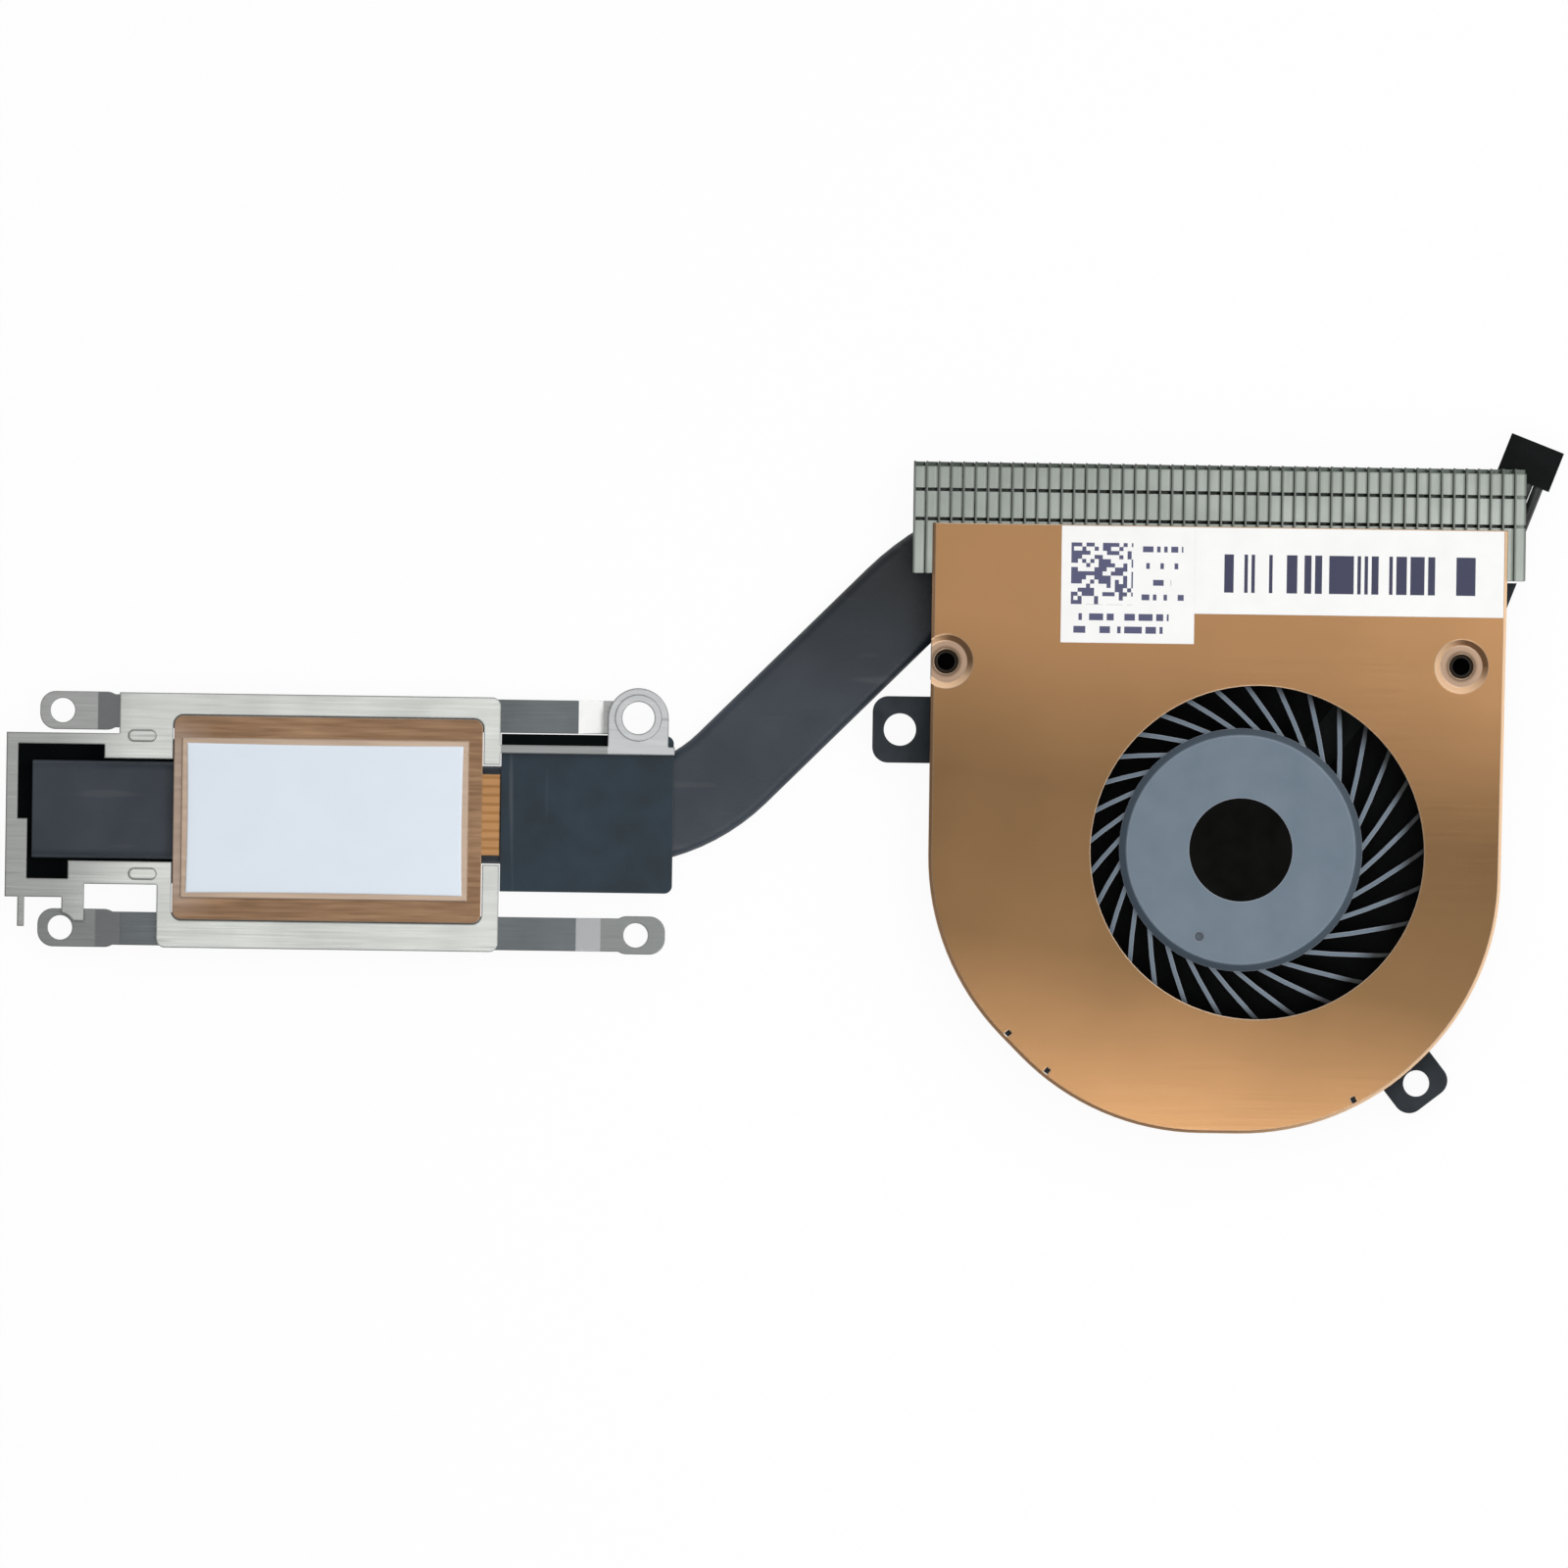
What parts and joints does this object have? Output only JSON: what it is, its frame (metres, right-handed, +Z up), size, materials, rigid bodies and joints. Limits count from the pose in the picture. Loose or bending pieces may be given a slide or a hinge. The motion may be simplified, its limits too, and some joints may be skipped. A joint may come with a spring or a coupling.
{
  "type": "laptop cooling fan heatsink",
  "caption": "Flat laptop blower with a copper-coloured cover, an interlocking fin stack, a bent flat heat pipe and a sprung cold plate bracket with a thermal pad.",
  "frame": {"origin": "on the rotor axis, at the underside of the blower case", "axes": "+X along the fin stack, away from the cold plate; +Y to the air outlet; +Z up, out of the inlet"},
  "size_m": [0.1585, 0.0718, 0.0066],
  "materials": {
    "case_plastic": "moulded black plastic with a fine satin grain",
    "cover_copper": "satin copper-coloured sheet metal",
    "impeller_plastic": "satin blue-grey moulded plastic",
    "hub_disc": "flat black disc",
    "steel": "plain turned and drawn steel",
    "magnet": "dull dark ferrite",
    "brass_tube": "turned brass",
    "bronze": "sintered bronze",
    "nylon": "pale nylon",
    "laminations": "stamped electrical steel",
    "winding": "enamelled copper wire",
    "board": "black solder mask",
    "wire_sheath": "black wire insulation",
    "connector_plastic": "black moulded connector",
    "contact_metal": "plated contact metal",
    "fin_aluminium": "bare folded aluminium sheet",
    "pipe_paint": "thin black-grey coating on copper",
    "film": "black insulating film",
    "copper": "bare satin copper",
    "pad": "pale blue-white soft pad",
    "nickel": "warm nickel-plated steel",
    "spring_steel": "grey spring steel",
    "plate_paint": "dark blue-grey coating",
    "label_paper": "white coated label"
  },
  "bodies": {
    "chassis": {"fan_housing": "case_plastic", "fan_cover": "cover_copper", "bearing_tube": "brass_tube", "sleeve_bearing": "bronze", "retaining_washer": "nylon", "thrust_pad": "nylon", "stator_core": "laminations", "stator_coils": "winding", "motor_board": "board", "fan_wires": "wire_sheath", "connector_housing": "connector_plastic", "connector_contacts": "contact_metal", "fin_stack": "fin_aluminium", "heat_pipe": "pipe_paint", "insulating_film": "film", "cold_plate": "copper", "thermal_pad": "pad", "mounting_frame": "nickel", "upper_spring_arm": "spring_steel", "lower_spring_arm": "spring_steel", "tab_eyelet": "nickel", "pipe_plate": "plate_paint", "label_small": "label_paper", "label_long": "label_paper"},
    "rotor": {"impeller": "impeller_plastic", "hub_cap": "hub_disc", "rotor_yoke": "steel", "rotor_magnet": "magnet", "rotor_shaft": "steel"}
  },
  "joints": [
    {"name": "rotor_spin", "type": "hinge", "parent": "chassis", "child": "rotor", "pos_m": [0, 0, 0.003], "axis": [0, 0, 1], "continuous": true}
  ]
}
